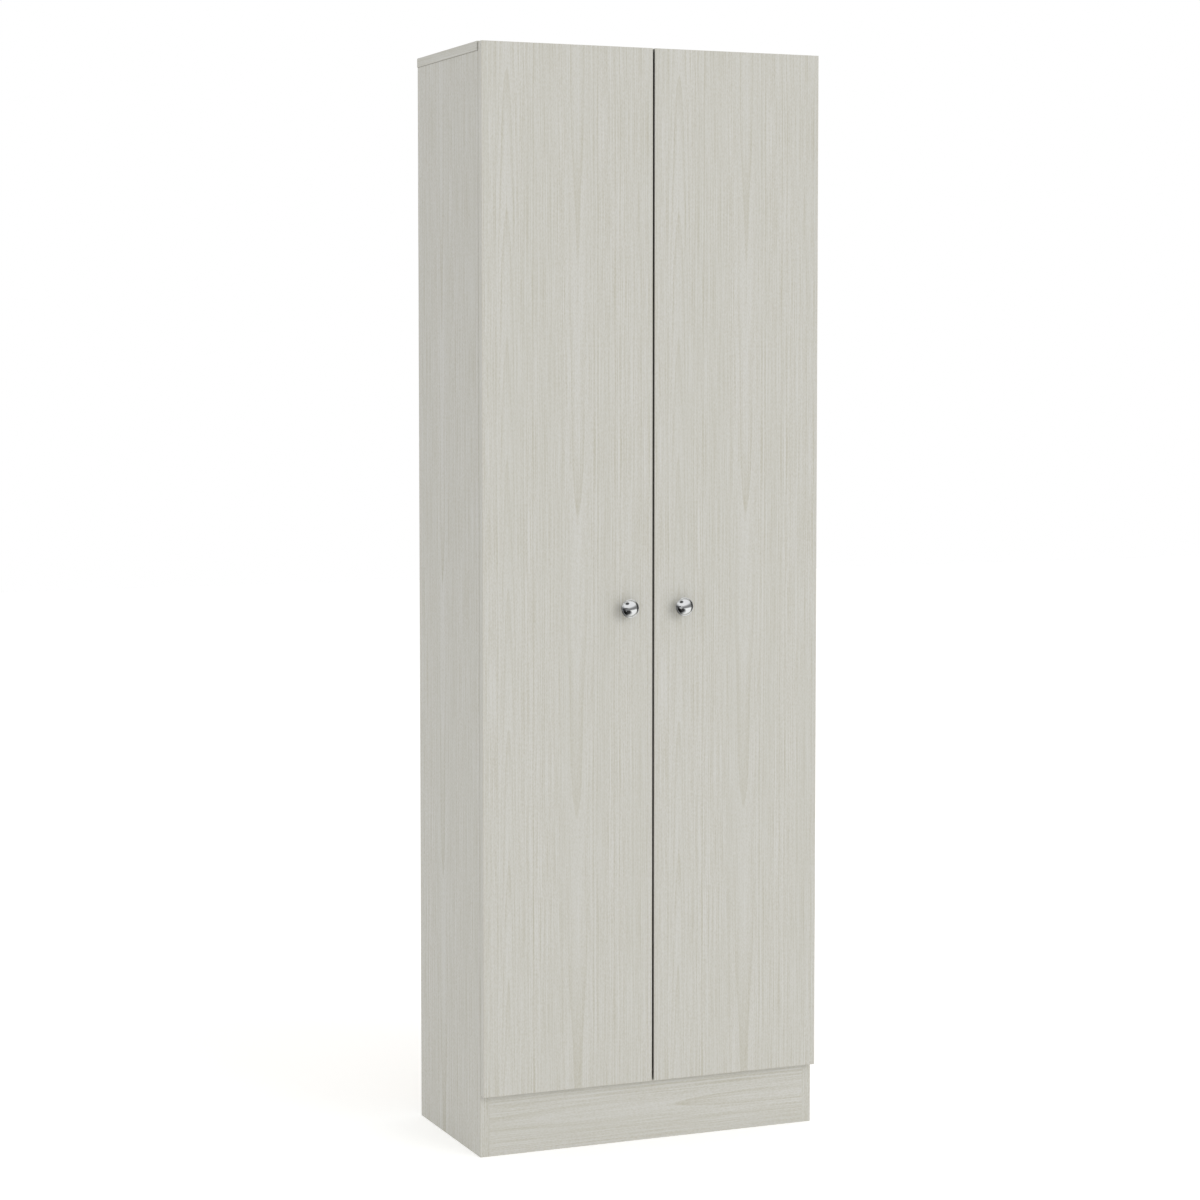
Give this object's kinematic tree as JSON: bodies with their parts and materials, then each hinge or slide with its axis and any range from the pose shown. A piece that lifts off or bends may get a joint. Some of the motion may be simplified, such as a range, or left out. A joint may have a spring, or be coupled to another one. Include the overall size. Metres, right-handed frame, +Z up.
{
  "type": "storage cabinet",
  "caption": "Tall narrow free-standing storage cabinet with flat full-overlay doors on concealed hinges, round knobs, a kick plinth and inner shelves.",
  "frame": {"origin": "centre of the footprint on the floor, half way between the knobs' fronts and the back panel's nail heads", "axes": "+Z up, -Y towards the doors at the front, +X to the right of someone facing the doors"},
  "size_m": [0.6, 0.3366, 1.8],
  "materials": {
    "melamine_board": "whitewashed wood-grain melamine, satin",
    "hardboard": "printed hardboard, matte",
    "polished_chrome": "polished",
    "nickel_plated_steel": "nickel plated",
    "zinc_plated_steel": "zinc plated",
    "cast_zinc": "die cast, dull",
    "white_plastic": "moulded",
    "beech_dowel": "raw",
    "clear_soft_plastic": "soft, clear"
  },
  "bodies": {
    "carcass": {"left_side_panel": "melamine_board", "right_side_panel": "melamine_board", "top_panel": "melamine_board", "bottom_panel": "melamine_board", "kick_panel": "melamine_board", "fixed_middle_shelf": "melamine_board", "loose_shelf_1": "melamine_board", "loose_shelf_2": "melamine_board", "loose_shelf_3": "melamine_board", "loose_shelf_4": "melamine_board", "lower_back_panel": "hardboard", "upper_back_panel": "hardboard", "back_panel_nails": "zinc_plated_steel", "cam_locks": "cast_zinc", "cam_bolts": "zinc_plated_steel", "cam_cover_caps": "white_plastic", "wood_dowels": "beech_dowel", "shelf_pins": "nickel_plated_steel", "wall_brackets": "zinc_plated_steel", "wall_bracket_screws": "zinc_plated_steel", "left_hinge_mounting_plates": "nickel_plated_steel", "left_hinge_plate_screws": "zinc_plated_steel", "left_hinge_arms": "nickel_plated_steel", "left_hinge_arm_screws": "zinc_plated_steel", "left_hinge_arm_pins": "nickel_plated_steel", "right_hinge_mounting_plates": "nickel_plated_steel", "right_hinge_plate_screws": "zinc_plated_steel", "right_hinge_arms": "nickel_plated_steel", "right_hinge_arm_screws": "zinc_plated_steel", "right_hinge_arm_pins": "nickel_plated_steel"},
    "left_inner_links": {"left_inner_hinge_links": "nickel_plated_steel"},
    "left_door_leaf": {"left_door": "melamine_board", "left_knob": "polished_chrome", "left_knob_screw": "zinc_plated_steel", "left_door_bumpers": "clear_soft_plastic", "left_hinge_cups": "nickel_plated_steel", "left_hinge_cup_pins": "nickel_plated_steel", "left_hinge_cup_screws": "zinc_plated_steel"},
    "left_outer_links": {"left_outer_hinge_links": "nickel_plated_steel"},
    "right_inner_links": {"right_inner_hinge_links": "nickel_plated_steel"},
    "right_door_leaf": {"right_door": "melamine_board", "right_knob": "polished_chrome", "right_knob_screw": "zinc_plated_steel", "right_door_bumpers": "clear_soft_plastic", "right_hinge_cups": "nickel_plated_steel", "right_hinge_cup_pins": "nickel_plated_steel", "right_hinge_cup_screws": "zinc_plated_steel"},
    "right_outer_links": {"right_outer_hinge_links": "nickel_plated_steel"}
  },
  "joints": [
    {"name": "left_inner_link_turn", "type": "hinge", "parent": "carcass", "child": "left_inner_links", "pos_m": [-0.2729, -0.1162, 0.95025], "axis": [0, 0, -1], "range_deg": [-34.3, 0]},
    {"name": "left_door_swing", "type": "hinge", "parent": "left_inner_links", "child": "left_door_leaf", "pos_m": [-0.2914, -0.1305, 0.95025], "axis": [0, 0, -1], "range_deg": [0, 129.2]},
    {"name": "left_outer_link_turn", "type": "hinge", "parent": "left_door_leaf", "child": "left_outer_links", "pos_m": [-0.288, -0.1317, 0.95025], "axis": [0, 0, -1], "range_deg": [-136.9, 0]},
    {"name": "right_inner_link_turn", "type": "hinge", "parent": "carcass", "child": "right_inner_links", "pos_m": [0.2729, -0.1162, 0.95025], "axis": [0, 0, 1], "range_deg": [-34.3, 0]},
    {"name": "right_door_swing", "type": "hinge", "parent": "right_inner_links", "child": "right_door_leaf", "pos_m": [0.2914, -0.1305, 0.95025], "axis": [0, 0, 1], "range_deg": [0, 129.2]},
    {"name": "right_outer_link_turn", "type": "hinge", "parent": "right_door_leaf", "child": "right_outer_links", "pos_m": [0.288, -0.1317, 0.95025], "axis": [0, 0, 1], "range_deg": [-136.9, 0]}
  ],
  "couplings": [
    {"joint": "left_inner_link_turn", "follows": "left_door_swing", "ratio": -0.26471},
    {"joint": "left_outer_link_turn", "follows": "left_door_swing", "ratio": -1.0588},
    {"joint": "right_inner_link_turn", "follows": "right_door_swing", "ratio": -0.26471},
    {"joint": "right_outer_link_turn", "follows": "right_door_swing", "ratio": -1.0588}
  ]
}
